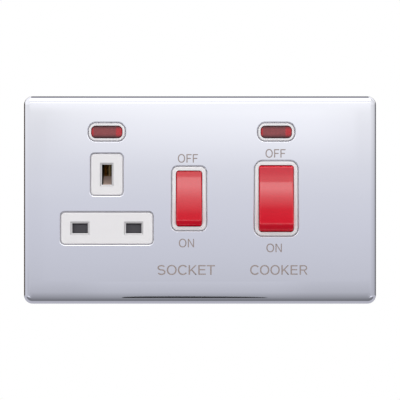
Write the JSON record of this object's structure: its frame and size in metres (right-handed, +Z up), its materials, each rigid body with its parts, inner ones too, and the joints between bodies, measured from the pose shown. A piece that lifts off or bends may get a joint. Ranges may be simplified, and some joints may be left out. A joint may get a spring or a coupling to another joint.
{
  "type": "cooker control unit",
  "caption": "Double wall plate in polished chrome with a shuttered mains socket, its rocker switch, a larger double-pole cooker switch and red neon lights.",
  "frame": {"origin": "on the wall plane, midway between the two fixing holes", "axes": "+X to the right seen from the front, +Z up, +Y into the wall"},
  "size_m": [0.146, 0.0364, 0.086],
  "materials": {
    "plate_steel": "polished, chromium plated",
    "white_moulding": "gloss white",
    "housing_plastic": "moulded, fine texture",
    "red_rocker": "gloss red",
    "plunger_nylon": "natural nylon",
    "spring_steel": "bright drawn wire",
    "brass": "rolled, clean",
    "contact_silver": "plain silver",
    "shutter_plastic": "moulded, dark grey",
    "screw_steel": "zinc plated",
    "red_lens": "clear red, dark when unlit",
    "lamp_glass": "clear glass",
    "resistor_ceramic": "lacquered",
    "tinned_wire": "tinned"
  },
  "bodies": {
    "unit": {"front_moulding": "white_moulding", "socket_base": "housing_plastic", "switch_base": "housing_plastic", "base_screws": "screw_steel", "fixed_contacts": "contact_silver", "socket_cradle": "brass", "neutral_cradle": "brass", "live_cradle": "brass", "cooker_neutral_strap": "brass", "cooker_live_strap": "brass", "neutral_busbar": "brass", "live_busbar": "brass", "switched_live_strap": "brass", "neutral_contact": "brass", "live_contact": "brass", "earth_contact": "brass", "earth_strap": "brass", "earth_terminal": "brass", "plate_earth_spring": "brass", "shutter_spring": "spring_steel", "supply_neutral_terminal": "brass", "supply_live_terminal": "brass", "cooker_neutral_terminal": "brass", "cooker_live_terminal": "brass", "terminal_screws": "screw_steel", "earth_screws": "screw_steel", "socket_neon_lens": "red_lens", "socket_neon_lamp": "lamp_glass", "socket_neon_resistor": "resistor_ceramic", "socket_neon_wires": "tinned_wire", "cooker_neon_lens": "red_lens", "cooker_neon_lamp": "lamp_glass", "cooker_neon_resistor": "resistor_ceramic", "cooker_neon_wires": "tinned_wire"},
    "plate": {"front_plate": "plate_steel"},
    "socket_rocker_body": {"socket_rocker": "red_rocker", "socket_plunger": "plunger_nylon", "socket_plunger_spring": "spring_steel"},
    "cooker_rocker_body": {"cooker_rocker": "red_rocker", "cooker_plungers": "plunger_nylon", "cooker_plunger_springs": "spring_steel"},
    "socket_arm_body": {"socket_contact_arm": "brass", "socket_arm_tip": "contact_silver"},
    "cooker_arms_body": {"cooker_neutral_arm": "brass", "cooker_live_arm": "brass", "cooker_arm_tips": "contact_silver"},
    "shutter_body": {"shutter": "shutter_plastic"}
  },
  "joints": [
    {"name": "plate_unclip", "type": "slide", "parent": "unit", "child": "plate", "axis": [0, -1, 0], "range_m": [0, 0.02]},
    {"name": "socket_switch", "type": "hinge", "parent": "unit", "child": "socket_rocker_body", "pos_m": [-0.0045, 0.0009, 0.0006], "axis": [1, 0, 0], "range_deg": [0, 16]},
    {"name": "cooker_switch", "type": "hinge", "parent": "unit", "child": "cooker_rocker_body", "pos_m": [0.0315, 0.0009, 0.0006], "axis": [1, 0, 0], "range_deg": [0, 16]},
    {"name": "socket_arm_rock", "type": "hinge", "parent": "unit", "child": "socket_arm_body", "pos_m": [-0.0045, 0.01477, 0.0006], "axis": [1, 0, 0], "range_deg": [-16, 0]},
    {"name": "cooker_arms_rock", "type": "hinge", "parent": "unit", "child": "cooker_arms_body", "pos_m": [0.0315, 0.01477, 0.0006], "axis": [1, 0, 0], "range_deg": [-16, 0]},
    {"name": "shutter_slide", "type": "slide", "parent": "unit", "child": "shutter_body", "axis": [0, 0, -1], "range_m": [0, 0.0054], "stiffness_N_per_m": 12, "springref_m": -0.001, "deforming": ["shutter_spring"]}
  ],
  "couplings": [
    {"joint": "socket_arm_rock", "follows": "socket_switch", "ratio": -1},
    {"joint": "cooker_arms_rock", "follows": "cooker_switch", "ratio": -1}
  ]
}
